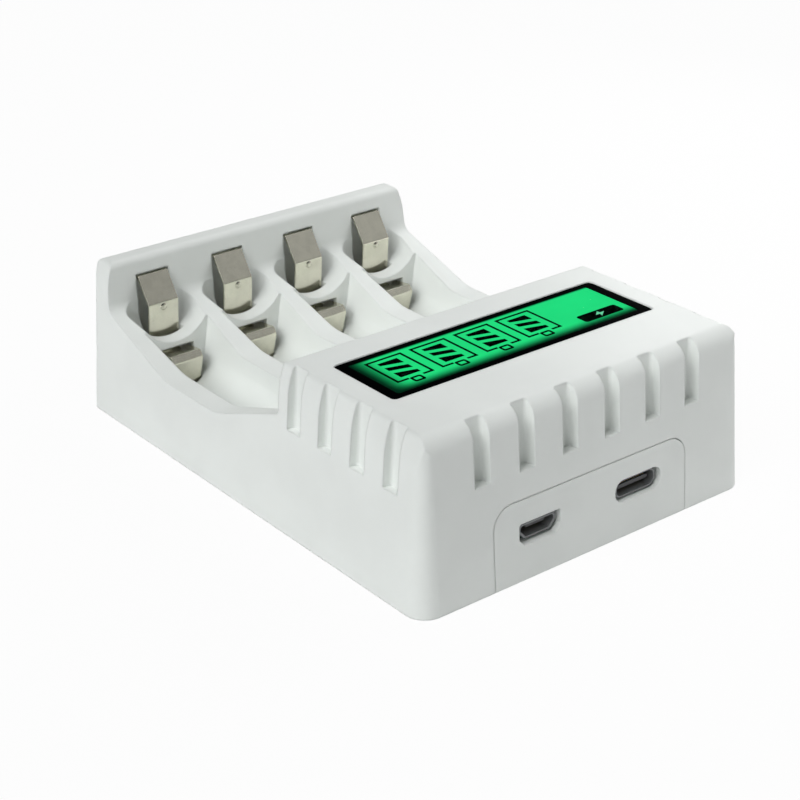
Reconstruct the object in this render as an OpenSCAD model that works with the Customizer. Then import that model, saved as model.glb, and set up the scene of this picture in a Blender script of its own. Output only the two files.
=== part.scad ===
// Four-bay charger for AA and AAA cells
// Lengths are in mm. The origin is the middle of the underside, +Z is up.
// The socket face looks along -Y and the rear contact wall stands at +Y.

/* [Body] */
// Width across the base
body_width = 71; // [69:0.5:76]
// Length from the socket face to the back
body_length = 98; // [96:0.2:104]
// Height of the head and of the rear wall
body_height = 29.2; // [28.6:0.2:33]
// Lean of each outer side, in mm for each mm of height
draft = 0.07; // [0.05:0.002:0.09]
// Moulded wall
wall = 1.6; // [1.2:0.1:1.8]
// Moulded skin below the bays
skin = 1.3; // [1.0:0.1:1.5]
// Top plate of the head
top_plate = 2.2; // [2:0.1:2.8]
// Radius of the front upright corners at the base
front_corner = 3.7; // [3:0.1:5]
// Radius of the rear upright corners at the base
rear_corner = 2.8; // [2.6:0.1:3.4]
// Radius between the socket face and the head top
front_top_radius = 3; // [2:0.1:4]
// Radius along the side top edges
side_top_radius = 1; // [0.5:0.1:1.1]
// Radius of the bulge in the upper sides
crown_radius = 16; // [12:0.5:16]
// Height of the bulge below the head top
crown_height = 5.6; // [5.6:0.2:7]
// Turn of the bulge in degrees
crown_turn = 18; // [14:1:18]
// Radius along the rear wall's top edges
wall_top_radius = 1.3; // [0.6:0.1:1.8]

/* [Bays] */
// Distance from one bay to the next
bay_pitch = 16.28; // [16:0.04:17]
// Length of a bay from the head to the rear wall
bay_length = 52.9; // [51:0.1:54]
// Depth of the rear wall at its foot
rear_wall_depth = 7; // [6.6:0.1:7.6]
// Set-back of the rear wall's face at its top
rear_wall_lean = 0.6; // [0:0.1:0.8]
// Depth of the step that carries the AAA contacts
step_depth = 7.1; // [6.8:0.1:7.6]
// Diameter of the larger cell
aa_diameter = 14.5; // [14:0.1:14.6]
// Height of the larger cell's axis
aa_axis = 21.9; // [21.5:0.1:22.7]
// Room round the larger cell in its seat
aa_room = 0.15; // [0.1:0.05:0.3]
// Diameter of the smaller cell
aaa_diameter = 10.5; // [10:0.1:10.6]
// Height of the trough's axis
aaa_axis = 11.7; // [11.4:0.1:12.2]
// Room round the smaller cell in its trough
aaa_room = 0.35; // [0.2:0.05:0.5]
// Lean of the trough's sides in degrees
trough_lean = 9.5; // [6:0.5:11]
// Blend between the seat and the rear wall
seat_blend = 2.4; // [1.5:0.1:3]

/* [Scoop] */
// Height of the finger scoop's floor
scoop_floor = 13.7; // [13.2:0.1:15.4]
// Height of the rails where they meet the head and the rear wall
scoop_top = 20.3; // [19.4:0.1:21.4]
// Front end of the scoop's flat floor, behind the head
scoop_start = 18; // [16:0.5:20]
// Length of the scoop's flat floor
scoop_flat = 16; // [13:0.5:18]
// Blend at both ends of the scoop's floor
scoop_blend = 9; // [4:0.5:14]

/* [Grooves] */
// Height of the grooves' lower ends
groove_foot = 18.6; // [17.4:0.2:21]
// Radius in the grooves' inner corners
groove_radius = 0.5; // [0.3:0.05:0.7]
// Width of the front grooves
front_groove_width = 3.2; // [2.4:0.1:3.8]
// Depth of the front grooves
front_groove_depth = 2.2; // [1:0.1:2.4]
// Width of the side grooves
side_groove_width = 3.5; // [2.4:0.1:3.8]
// Depth of the side grooves
side_groove_depth = 1.6; // [1:0.1:1.8]
// Distance between the front grooves
front_groove_pitch = 8.98; // [8:0.02:9.4]
// Distance between the side grooves
side_groove_pitch = 8.26; // [7.6:0.02:8.4]
// Distance from the head's back to the first side groove
side_groove_start = 4.3; // [3.5:0.1:5]

/* [Display] */
// Width of the lens
lens_width = 55.6; // [50:0.2:57]
// Depth of the lens
lens_depth = 15.6; // [14:0.2:17]
// Distance from the lens to the head's back
lens_back = 6.5; // [6:0.1:8]
// Thickness of the lens
lens_thickness = 0.6; // [0.5:0.1:1.3]
// Set-back of the lens below the head top
lens_drop = 0.1; // [0:0.05:0.2]
// Gap round the lens
lens_gap = 0.12; // [0.08:0.02:0.25]
// Ledge that carries the lens
lens_ledge = 1; // [0.6:0.1:1.4]
// Thickness of the display cell
lcd_thickness = 2.4; // [1.8:0.1:2.8]
// Thickness of the light panel
backlight_thickness = 3; // [2:0.1:3.4]

/* [Contacts] */
// Width of the contact strips
strip_width = 6.2; // [5:0.1:6.6]
// Thickness of the contact strips
strip_thickness = 0.4; // [0.3:0.05:0.5]
// Gap beside a strip in its window
strip_gap = 0.35; // [0.3:0.05:0.5]
// Bend radius of a strip's foot on its middle line
foot_bend = 0.8; // [0.6:0.05:1]
// Distance from the rear wall to the AA strip's nose
aa_nose_reach = 2.85; // [2.6:0.05:3.2]
// Height of the AA strip's nose
aa_nose_height = 20.8; // [20:0.1:21.8]
// Height at which the AA strip enters the rear wall
aa_slot_height = 25.4; // [24.8:0.1:26]
// Distance from the step to the AAA strip's nose
aaa_nose_reach = 3.25; // [2.8:0.05:3.5]
// Height of the AAA strip's nose
aaa_nose_height = 11.7; // [11.1:0.1:12]
// Radius of the pressed dimple
dimple_radius = 0.6; // [0.5:0.05:0.8]
// Set-back of the AAA face on the positive strip
positive_step = 1.35; // [1:0.05:1.5]

/* [Ports] */
// Width of the port panel
panel_width = 41.5; // [38:0.5:44]
// Offset of the port panel from the middle
panel_offset = 0.1; // [0:0.1:2]
// Height of the port panel
panel_height = 13.8; // [13:0.1:14.6]
// Radius of the panel's upper corners
panel_radius = 3.6; // [2:0.1:5]
// Gap round the port panel
panel_gap = 0.15; // [0.15:0.01:0.3]
// Thickness of the port panel
panel_thickness = 1.7; // [1.4:0.1:1.8]
// Middle of the USB-C opening from the body's middle
usb_c_x = 10.2; // [9:0.1:12]
// Middle of the micro-USB opening from the body's middle
micro_x = -11.2; // [-12:0.1:-9]
// Set-back of both sockets from the panel's face
socket_inset = 0.9; // [0.7:0.1:1.4]

/* [Inside] */
// Thickness of the base cover
base_thickness = 2; // [1.6:0.1:2.2]
// Gap round the base cover
base_gap = 0.15; // [0.1:0.05:0.3]
// Height of the circuit board's upper side
board_top = 6.5; // [6.4:0.1:6.9]
// Thickness of the boards
board_thickness = 1.6; // [1.2:0.1:1.6]
// Radius of a screw's shank
screw_radius = 1; // [0.8:0.1:1.2]
// Gap between a screw and its bore
screw_gap = 0.05; // [0.02:0.01:0.1]
// Radius of a screw's head
screw_head = 2; // [1.8:0.1:2.4]
// Thickness of the negative bus
bus_thickness = 0.4; // [0.3:0.05:0.5]
// Thickness of the hooks that hold the display board's front edge
hook_thickness = 1.2; // [1:0.1:1.4]
// Width of a hook
hook_width = 4; // [3:0.5:6]
// Length of the pin strip between the boards
link_length = 20; // [15:1:22]
// Depth and height of the pin strip's block
link_depth = 2.5; // [2:0.1:2.6]
// Width of the controller chip
chip_width = 10; // [8:0.5:10]
// Depth of the controller chip's case
chip_depth = 7; // [5:0.5:7]
// Width of a charge transistor
transistor_width = 4.8; // [4:0.1:5]
// Depth of a charge transistor's case
transistor_depth = 4; // [3:0.1:4.2]
// Radius of the filter capacitor
capacitor_radius = 3.15; // [2.5:0.05:3.2]
// Height of the filter capacitor
capacitor_height = 7.3; // [5:0.1:8]
// Shank length of the cover screws
cover_screw = 7; // [6:0.5:8]
// Shank length of the board screws
board_screw = 4.5; // [4:0.5:5]

/* [Hidden] */
half_w = body_width / 2;
half_l = body_length / 2;
rear_face = half_l - rear_wall_depth;
head_back = rear_face - bay_length;
step_face = rear_face - step_depth;
scoop_from = head_back + scoop_start;
scoop_to = scoop_from + scoop_flat;
aa_seat = aa_diameter / 2 + aa_room;
trough = aaa_diameter / 2 + aaa_room;
window = strip_width / 2 + strip_gap;
inner_top = body_height - top_plate;
crown_z = body_height - crown_height + crown_radius * tan(crown_turn / 2) * cos(atan(draft));
crown_x = half_w - draft * crown_z;
top_x = crown_x - (body_height - crown_z) * tan(crown_turn + atan(draft));
bay_x = [for (i = [0:3]) (i - 1.5) * bay_pitch];
divider_x = [-bay_pitch, bay_pitch];
bus_top = base_thickness + bus_thickness;
foot_z = bus_top + strip_thickness / 2;
hinge_z = foot_z + foot_bend;
aa_nose_y = rear_face - aa_nose_reach;
aa_foot_y = aa_nose_y + 1.4;
aa_hinge_y = aa_foot_y - foot_bend;
aaa_nose_y = step_face - aaa_nose_reach;
aaa_foot_y = aaa_nose_y + 2.55;
aaa_hinge_y = aaa_foot_y - foot_bend;
aa_window_y = aa_nose_y - 0.9;
aaa_window_y = aaa_nose_y + 0.85;
aaa_window_top = aa_axis - aa_seat - 1;
positive_knee = aaa_axis + 4.4;
positive_foot = aaa_axis - trough + 2.8;
positive_tail = 3;
lens_to = head_back - lens_back;
lens_from = lens_to - lens_depth;
lens_seat = body_height - lens_drop - lens_thickness;
lcd_bottom = inner_top - lcd_thickness;
backlight_bottom = lcd_bottom - backlight_thickness;
display_board_bottom = backlight_bottom - board_thickness;
board_bottom = board_top - board_thickness;
board_half = half_w - 9.5;
board_front = -half_l + panel_thickness + draft * panel_height + 0.22;
board_back = head_back - wall - 1.5;
positive_tail_y = board_back - 2;
socket_front = -half_l + board_top * draft + socket_inset;
cover_boss_x = half_w - 5.9;
cover_boss_y = -half_l + 7.1;
rear_boss_y = step_face - 6.4;
cover_boss = 2.6;
rear_boss = min(cover_boss, bay_pitch / 2 - trough - 0.3);
display_boss = 1.9;
display_board_half = cover_boss_x - cover_boss - 0.4;
display_boss_x = display_board_half - display_boss - 0.3;
display_boss_y = lens_to + display_boss + 0.4;
display_board_from = lens_from - 0.2;
board_post_x = board_half - 3.4;
board_length = board_back - board_front;
board_post_y = [board_front + 0.35 * board_length, board_front + 0.79 * board_length];
board_post = 2.2;
bus_front = board_back - 3;
usb_c_w = 8.94;
usb_c_h = 3.26;
micro_w = 7.5;
micro_h = 2.7;
usb_c_z = board_top + usb_c_h / 2;
micro_z = board_top + micro_h / 2;
$fn = 48;

// Helpers for flat outlines with true arcs

function unit(v) = v / norm(v);
function left(u) = [-u.y, u.x];
function turn(a, b, c) = sign(cross(b - a, c - b));
function bend_angle(a, b, c) = acos(max(-1, min(1, unit(b - a) * unit(c - b))));
function bend_in(a, b, c, r) = b - unit(b - a) * r * tan(bend_angle(a, b, c) / 2);
function bend_out(a, b, c, r) = b + unit(c - b) * r * tan(bend_angle(a, b, c) / 2);
function bend_middle(a, b, c, r) = bend_in(a, b, c, r) + left(unit(b - a)) * r * turn(a, b, c);

module along_x(from, to) translate([from, 0, 0]) rotate([90, 0, 90]) linear_extrude(to - from) children();
module along_y(from, to) translate([0, to, 0]) rotate([90, 0, 0]) linear_extrude(to - from) children();
module along_z(from, to) translate([0, 0, from]) linear_extrude(to - from) children();

// A polygon, counter-clockwise, with one radius for each corner
module rounded(p, r) {
    n = len(p);
    difference() {
        union() {
            polygon([for (i = [0:n - 1]) let (a = p[(i + n - 1) % n], b = p[i], c = p[(i + 1) % n])
                each r[i] > 0 ? [bend_in(a, b, c, r[i]), bend_out(a, b, c, r[i])] : [b]]);
            for (i = [0:n - 1]) {
                a = p[(i + n - 1) % n];
                c = p[(i + 1) % n];
                if (r[i] > 0 && turn(a, p[i], c) > 0) translate(bend_middle(a, p[i], c, r[i])) circle(r[i]);
            }
        }
        for (i = [0:n - 1]) {
            a = p[(i + n - 1) % n];
            c = p[(i + 1) % n];
            if (r[i] > 0 && turn(a, p[i], c) < 0) translate(bend_middle(a, p[i], c, r[i])) circle(r[i]);
        }
    }
}

module rounded_box(x, y, r) {
    rounded([[-x / 2, -y / 2], [x / 2, -y / 2], [x / 2, y / 2], [-x / 2, y / 2]], [r, r, r, r]);
}

// A bent strip of width w along its middle line, with a bend radius for each inner point
module strip(p, r, t, w) {
    n = len(p);
    for (i = [0:n - 2]) {
        a = i == 0 ? p[0] : bend_out(p[i - 1], p[i], p[i + 1], r[i]);
        b = i == n - 2 ? p[n - 1] : bend_in(p[i], p[i + 1], p[i + 2], r[i + 1]);
        s = left(unit(b - a)) * t / 2;
        along_x(-w / 2, w / 2) polygon([a - s, b - s, b + s, a + s]);
    }
    for (i = [1:n - 2]) {
        m = bend_middle(p[i - 1], p[i], p[i + 1], r[i]);
        a = bend_in(p[i - 1], p[i], p[i + 1], r[i]);
        b = bend_out(p[i - 1], p[i], p[i + 1], r[i]);
        along_x(-w / 2, w / 2) intersection() {
            translate(m) difference() {
                circle(r[i] + t / 2);
                circle(r[i] - t / 2);
            }
            polygon([m, m + (a - m) * 2.5, m + (unit(a - m) + unit(b - m)) * r[i] * 2.5, m + (b - m) * 2.5]);
        }
        strip_key(a, unit(p[i] - p[i - 1]), t, w);
        strip_key(b, unit(p[i + 1] - p[i]), t, w);
    }
}

// A small core inside the strip that ties a straight run to its bend
module strip_key(at, u, t, w) {
    reach = u * t / 4;
    side = left(u) * t / 4;
    along_x(-w / 2 + t / 4, w / 2 - t / 4)
        polygon([at - reach - side, at + reach - side, at + reach + side, at - reach + side]);
}

// Upper housing

module front_outline() {
    base = [half_w, 0];
    knee = [crown_x, crown_z];
    edge = [top_x, body_height];
    start = bend_in(base, knee, edge, crown_radius);
    end = bend_out(base, knee, edge, crown_radius);
    middle = bend_middle(base, knee, edge, crown_radius);
    rounded([[-half_w, 0], base, start, end, edge, [-edge.x, edge.y], [-end.x, end.y], [-start.x, start.y]],
        [0, 0, 0, 0, side_top_radius, side_top_radius, 0, 0]);
    for (s = [-1, 1]) intersection() {
        translate([s * middle.x, middle.y]) circle(crown_radius);
        polygon([[s * middle.x, middle.y], [s * start.x, start.y], [s * knee.x, knee.y], [s * end.x, end.y]]);
    }
}

module side_outline() {
    lean = draft * body_height;
    rounded([[-half_l, 0], [half_l, 0], [half_l - lean, body_height],
        [rear_face + rear_wall_lean, body_height], [rear_face, scoop_top], [scoop_to, scoop_floor],
        [scoop_from, scoop_floor], [head_back, scoop_top], [head_back, body_height],
        [-half_l + lean, body_height]],
        [0, 0, wall_top_radius, wall_top_radius, seat_blend, scoop_blend, scoop_blend, 0.6, 0.7, front_top_radius]);
}

module upright_corner(x, y, sx, sy, r) {
    translate([x - sx * r, y - sy * r, -1]) difference() {
        translate([sx > 0 ? 0 : -r - 2, sy > 0 ? 0 : -r - 2, 0]) cube([r + 2, r + 2, body_height + 3]);
        translate([0, 0, 1]) rotate([0, 0, atan2(-sy, -sx)])
            cylinder(h = body_height, r1 = r, r2 = max(0.3, r - draft * body_height));
    }
}

module outer_body() {
    difference() {
        intersection() {
            along_y(-half_l - 1, half_l + 1) front_outline();
            along_x(-half_w - 1, half_w + 1) side_outline();
        }
        upright_corner(-half_w, -half_l, -1, -1, front_corner);
        upright_corner(half_w, -half_l, 1, -1, front_corner);
        upright_corner(-half_w, half_l, -1, 1, rear_corner);
        upright_corner(half_w, half_l, 1, 1, rear_corner);
    }
}

module trough_outline(grow) {
    r = trough + grow;
    top = body_height + 2;
    x = r * cos(trough_lean);
    z = aaa_axis - r * sin(trough_lean);
    reach = x + (top - z) * tan(trough_lean);
    translate([0, aaa_axis]) circle(r);
    polygon([[-x, z], [x, z], [reach, top], [-reach, top]]);
}

module seat_cut(grow, from, to) {
    r = aa_seat + grow;
    translate([0, to, aa_axis]) rotate([90, 0, 0]) rotate_extrude()
        rounded([[0, 0], [r, 0], [r, to - from], [0, to - from]], [0, grow > 0 ? 0 : seat_blend, 0, 0]);
}

module inner_space() {
    low = -1;
    top = inner_top;
    intersection() {
        along_x(-half_w, half_w) polygon([[-half_l + wall + draft * low, low], [half_l - wall - draft * low, low],
            [half_l - wall - draft * (top + 0.4), top + 0.4], [rear_face + wall + 0.2, top + 0.4],
            [rear_face + wall, scoop_top - wall], [scoop_to + 0.3, scoop_floor - wall],
            [scoop_from - 0.3, scoop_floor - wall], [head_back - wall, scoop_top - wall],
            [head_back - wall, top], [-half_l + wall + draft * top, top]]);
        along_y(-half_l, half_l) polygon([[-half_w + wall + draft * low, low], [half_w - wall - draft * low, low],
            [crown_x - wall - 0.2, crown_z], [top_x - wall + 0.4, top + 0.4],
            [-top_x + wall - 0.4, top + 0.4], [-crown_x + wall + 0.2, crown_z]]);
    }
}

module contact_windows() {
    for (x = bay_x) translate([x, 0, 0]) {
        translate([-window, aa_window_y, base_thickness + 4])
            cube([2 * window, rear_face + wall + 0.9 - aa_window_y, aa_slot_height + 0.6 - base_thickness - 4]);
        translate([-window, aaa_window_y, base_thickness + 1])
            cube([2 * window, step_face + skin + 0.3 - aaa_window_y, aaa_window_top - base_thickness - 1]);
        translate([-window, head_back - wall - 1, positive_foot - 1.4])
            cube([2 * window, wall + 2, positive_knee + 3.1 - positive_foot]);
    }
}

module groove_cut(width, depth, grow) {
    w = width / 2 + grow;
    translate([0, 0, -grow]) linear_extrude(body_height - groove_foot + grow + 3)
        rounded([[-w, -3], [w, -3], [w, depth + grow], [-w, depth + grow]], [0, 0, groove_radius, groove_radius]);
}

// The grooves themselves, or grown by a skin that stays behind them
module grooves(grow) {
    lean = atan(draft);
    for (i = [-2.5:2.5])
        translate([i * front_groove_pitch, -half_l + draft * groove_foot, groove_foot])
            rotate([-lean, 0, 0]) groove_cut(front_groove_width, front_groove_depth, grow);
    for (s = [-1, 1], i = [0:3])
        translate([s * (half_w - draft * groove_foot), head_back - side_groove_start - i * side_groove_pitch, groove_foot])
            rotate([0, 0, s * 90]) rotate([-lean, 0, 0]) groove_cut(side_groove_width, side_groove_depth, grow);
}

module panel_outline(gap) {
    w = panel_width / 2 + gap;
    translate([panel_offset, 0]) rounded([[-w, -3], [w, -3], [w, panel_height + gap], [-w, panel_height + gap]],
        [0, 0, panel_radius + gap, panel_radius + gap]);
}

module bosses() {
    for (s = [-1, 1]) {
        translate([s * cover_boss_x, cover_boss_y, base_thickness]) cylinder(h = inner_top - base_thickness + 0.5, r = cover_boss);
        translate([s * bay_pitch, rear_boss_y, base_thickness]) cylinder(h = scoop_floor - base_thickness - 1, r = rear_boss);
        translate([s * display_boss_x, display_boss_y, backlight_bottom])
            cylinder(h = inner_top - backlight_bottom + 0.5, r = display_boss);
        translate([s * display_boss_x - hook_width / 2, display_board_from - 0.1 - hook_thickness, display_board_bottom - 1]) {
            cube([hook_width, hook_thickness, inner_top - display_board_bottom + 1.5]);
            cube([hook_width, hook_thickness + 0.9, 0.9]);
        }
    }
}

module boss_bores() {
    for (s = [-1, 1]) {
        translate([s * cover_boss_x, cover_boss_y, base_thickness - 1]) cylinder(h = 9, r = screw_radius);
        translate([s * bay_pitch, rear_boss_y, base_thickness - 1]) cylinder(h = 9, r = screw_radius);
        translate([s * display_boss_x, display_boss_y, backlight_bottom - 1]) cylinder(h = 5.4, r = screw_radius);
    }
}

module upper_housing() {
    color("white") difference() {
        union() {
            difference() {
                outer_body();
                for (x = bay_x) translate([x, 0, 0]) {
                    along_y(head_back, step_face) trough_outline(0);
                    seat_cut(0, step_face - 0.5, rear_face);
                }
                difference() {
                    inner_space();
                    grooves(skin);
                    for (x = bay_x) translate([x, 0, 0]) {
                        along_y(head_back - wall - 0.01, step_face + skin) trough_outline(skin);
                        seat_cut(skin, step_face, rear_face + wall + 0.1);
                    }
                }
            }
            intersection() {
                bosses();
                translate([-half_w + wall / 2, -half_l + wall / 2, 0])
                    cube([body_width - wall, body_length - wall, body_height - 1]);
            }
        }
        boss_bores();
        contact_windows();
        grooves(0);
        along_y(-half_l - 1, -half_l + wall + draft * panel_height + 0.6) panel_outline(panel_gap);
        translate([0, (lens_from + lens_to) / 2, 0]) {
            along_z(lens_seat, body_height + 1) rounded_box(lens_width + 2 * lens_gap, lens_depth + 2 * lens_gap, 0.9);
            along_z(inner_top - 1, body_height) square([lens_width - 2 * lens_ledge, lens_depth - 2 * lens_ledge], center = true);
        }
    }
}

// Base cover with its upright port panel

module stadium(w, h, r) {
    rounded_box(w, h, r);
}

module micro_outline(grow) {
    w = micro_w / 2 + grow;
    h = micro_h / 2 + grow;
    rounded([[-w + 1.1, -h], [w - 1.1, -h], [w, -h + 1.2], [w, h], [-w, h], [-w, -h + 1.2]],
        [0.3, 0.3, 0.3, 0.5, 0.5, 0.3]);
}

module base_cover() {
    edge = wall + base_gap + draft * base_thickness / 2;
    color("whitesmoke") difference() {
        union() {
            along_z(0, base_thickness) translate([0, 0])
                rounded_box(body_width - 2 * edge - 0.1, body_length - 2 * edge - 0.1, 1.2);
            intersection() {
                outer_body();
                along_y(-half_l - 1, -half_l + panel_thickness + draft * panel_height) panel_outline(0);
            }
            for (s = [-1, 1], y = board_post_y) translate([s * board_post_x, y, base_thickness - 0.5])
                cylinder(h = board_bottom - base_thickness + 0.5, r = board_post);
        }
        for (s = [-1, 1]) {
            translate([s * cover_boss_x, cover_boss_y, 0]) screw_seat();
            translate([s * bay_pitch, rear_boss_y, 0]) screw_seat();
            for (y = board_post_y) translate([s * board_post_x, y, 0.8]) cylinder(h = board_top, r = screw_radius);
        }
        along_y(-half_l - 1, -half_l + 5) {
            translate([usb_c_x, usb_c_z]) stadium(usb_c_w + 1.46, usb_c_h + 0.74, 1.9);
            translate([micro_x, micro_z]) micro_outline(0.6);
        }
    }
}

module screw_seat() {
    translate([0, 0, -1]) cylinder(h = base_thickness + 3, r = screw_radius + 0.2);
    translate([0, 0, -1]) cylinder(h = 1 + base_thickness - 0.8, r = screw_head + 0.25);
}

// Display stack in the head

module display_lens() {
    color("black") translate([0, (lens_from + lens_to) / 2, 0])
        along_z(lens_seat, lens_seat + lens_thickness) rounded_box(lens_width, lens_depth, 0.8);
}

module lcd_panel() {
    edge = lens_ledge + lens_gap;
    color("limegreen") {
        translate([-lens_width / 2, lens_from, lcd_bottom]) cube([lens_width, lens_depth, lcd_thickness]);
        translate([-lens_width / 2 + edge, lens_from + edge, lcd_bottom + lcd_thickness / 2])
            cube([lens_width - 2 * edge, lens_depth - 2 * edge, lens_seat - lens_gap / 2 - lcd_bottom - lcd_thickness / 2]);
    }
}

module backlight_panel() {
    color("honeydew") translate([-lens_width / 2, lens_from, backlight_bottom])
        cube([lens_width, lens_depth, backlight_thickness]);
}

module display_board() {
    color("darkgreen") difference() {
        translate([-display_board_half, display_board_from, display_board_bottom])
            cube([2 * display_board_half, display_boss_y + display_boss - display_board_from, board_thickness]);
        for (s = [-1, 1]) translate([s * display_boss_x, display_boss_y, display_board_bottom - 1])
            cylinder(h = board_thickness + 2, r = screw_radius + 0.2);
    }
}

module board_link() {
    color("black") translate([-link_length / 2, lens_to - link_depth, board_top]) cube([link_length, link_depth, link_depth]);
    color("gold") for (i = [-3.5:3.5])
        translate([i * link_length / 8 - 0.32, lens_to - link_depth / 2 - 0.32, board_top + link_depth - 0.5])
            cube([0.64, 0.64, display_board_bottom - board_top - link_depth + 0.5]);
}

// Circuit board, its parts and its screws

module circuit_board() {
    color("darkgreen") difference() {
        translate([-board_half, board_front, board_bottom]) cube([2 * board_half, board_back - board_front, board_thickness]);
        for (s = [-1, 1], y = board_post_y) translate([s * board_post_x, y, board_bottom - 1])
            cylinder(h = board_thickness + 2, r = screw_radius + 0.2);
    }
}

module controller_chip() {
    color("dimgray") translate([-chip_width / 2, board_front + 0.25 * board_length, board_top]) {
        translate([0, 0, 0.2]) cube([chip_width, chip_depth, 1.5]);
        for (i = [1:7], y = [-1, chip_depth - 0.5]) translate([i * chip_width / 8 - 0.2, y, 0]) cube([0.4, 1.5, 0.5]);
    }
}

module charge_transistors() {
    color("dimgray") for (x = bay_x) translate([x * 0.95 - transistor_width / 2, board_front + 0.5 * board_length, board_top]) {
        translate([0, 0, 0.1]) cube([transistor_width, transistor_depth, 1.6]);
        for (i = [1:3]) translate([i * transistor_width / 4 - 0.3, -0.8, 0]) cube([0.6, 1.2, 0.4]);
    }
}

module filter_capacitor() {
    color("silver") translate([bay_pitch * 0.95, board_front + 0.62 * board_length, board_top]) {
        translate([-capacitor_radius - 0.15, -capacitor_radius - 0.15, 0])
            cube([2 * capacitor_radius + 0.3, 2 * capacitor_radius + 0.3, 0.8]);
        translate([0, 0, 0.5]) cylinder(h = capacitor_height - 0.5, r = capacitor_radius);
    }
}

module screw(length) {
    difference() {
        union() {
            cylinder(h = 1.1, r = screw_head);
            translate([0, 0, 0.6]) cylinder(h = length + 0.5, r = screw_radius - screw_gap);
        }
        for (a = [0, 90]) rotate([0, 0, a]) translate([-1.1, -0.25, -0.1]) cube([2.2, 0.5, 0.6]);
    }
}

module cover_screws() {
    color("silver") for (s = [-1, 1]) {
        translate([s * cover_boss_x, cover_boss_y, base_thickness - 1.9]) screw(cover_screw);
        translate([s * bay_pitch, rear_boss_y, base_thickness - 1.9]) screw(cover_screw);
    }
}

module board_screws() {
    color("silver") for (s = [-1, 1]) {
        translate([s * display_boss_x, display_boss_y, display_board_bottom - 1.1]) screw(board_screw);
        for (y = board_post_y) translate([s * board_post_x, y, board_top + 1.1]) rotate([180, 0, 0]) screw(board_screw);
    }
}

// Power inlets

module usb_c_socket() {
    color("silver") translate([usb_c_x, 0, usb_c_z]) {
        along_y(socket_front, socket_front + 7) difference() {
            stadium(usb_c_w, usb_c_h, 1.45);
            stadium(usb_c_w - 0.6, usb_c_h - 0.6, 1.15);
        }
        along_y(socket_front + 6, socket_front + 7) stadium(usb_c_w, usb_c_h, 1.45);
    }
}

module usb_c_tongue() {
    color("dimgray") translate([usb_c_x - 3.35, socket_front + 0.7, usb_c_z - 0.35]) cube([6.7, 5.3, 0.7]);
}

module micro_usb_socket() {
    color("silver") translate([micro_x, 0, micro_z]) {
        along_y(socket_front, socket_front + 5.5) difference() {
            micro_outline(0);
            micro_outline(-0.3);
        }
        along_y(socket_front + 4.5, socket_front + 5.5) micro_outline(0);
    }
}

module micro_usb_tongue() {
    color("dimgray") translate([micro_x - 1.9, socket_front + 0.6, micro_z + 0.15]) cube([3.8, 3.9, 0.6]);
}

// Contacts

module aa_contact(i) {
    path = [[aa_foot_y - 2.4, foot_z], [aa_foot_y, foot_z], [aa_nose_y, aa_nose_height],
        [rear_face + 0.3, aa_slot_height], [rear_face + 0.9, aa_slot_height]];
    color("silver") translate([bay_x[i - 1], 0, 0]) {
        strip(path, [0, foot_bend, 0.45, 0.45, 0], strip_thickness, strip_width);
        aa_dimple();
    }
}

// A pressed dimple on the face of the strip, just below its nose
module aa_dimple() {
    up = unit([aa_nose_y - aa_foot_y, aa_nose_height - foot_z]);
    out = left(up);
    at = [aa_nose_y, aa_nose_height] - up * 0.85;
    r = dimple_radius + 0.5;
    middle = at + out * (strip_thickness / 2 + 0.26 - r);
    intersection() {
        translate([0, middle.x, middle.y]) sphere(r);
        along_x(-1.5, 1.5) polygon([at - up * 1.5, at + up * 0.8, at + up * 0.8 + out, at - up * 1.5 + out]);
    }
}

module aaa_contact(i) {
    path = [[aaa_foot_y - 2, foot_z], [aaa_foot_y, foot_z], [aaa_nose_y, aaa_nose_height],
        [aaa_nose_y + 0.75, aaa_nose_height + 1.05], [step_face + 1.7, aaa_nose_height + 0.5]];
    color("silver") translate([bay_x[i - 1], 0, 0])
        strip(path, [0, foot_bend, 0.45, 0.45, 0], strip_thickness, strip_width);
}

module positive_contact(i) {
    face = head_back + strip_thickness / 2;
    back = face - positive_step;
    knee = positive_knee;
    color("silver") translate([bay_x[i - 1], 0, 0]) {
        strip([[face, aa_axis + 2.6], [face, knee + 1.4], [back, knee - 0.4], [back, positive_foot]],
            [0, 0.5, 0.5, 0], strip_thickness, strip_width);
        strip([[back, positive_foot + 1], [back, positive_foot - 0.6], [positive_tail_y, positive_foot - 0.6],
            [positive_tail_y, board_top]], [0, 0.5, 0.5, 0], strip_thickness, positive_tail);
        intersection() {
            translate([0, face, aa_axis]) sphere(dimple_radius);
            translate([-2, head_back, aa_axis - 2]) cube([4, 4, 4]);
        }
    }
}

module aa_contact_1() { aa_contact(1); }
module aa_contact_2() { aa_contact(2); }
module aa_contact_3() { aa_contact(3); }
module aa_contact_4() { aa_contact(4); }
module aaa_contact_1() { aaa_contact(1); }
module aaa_contact_2() { aaa_contact(2); }
module aaa_contact_3() { aaa_contact(3); }
module aaa_contact_4() { aaa_contact(4); }
module positive_contact_1() { positive_contact(1); }
module positive_contact_2() { positive_contact(2); }
module positive_contact_3() { positive_contact(3); }
module positive_contact_4() { positive_contact(4); }

module negative_bus() {
    from = aaa_foot_y - 2.6;
    to = aa_foot_y + 0.6;
    color("silver") {
        translate([bay_x[0] - 4, from, base_thickness]) cube([bay_x[3] - bay_x[0] + 8, to - from, bus_thickness]);
        translate([-2.5, bus_front, base_thickness]) cube([5, from - bus_front + 0.5, bus_thickness]);
        translate([-2.5, bus_front, base_thickness]) cube([5, bus_thickness, board_bottom - base_thickness]);
    }
}

// One line for each node

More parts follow.
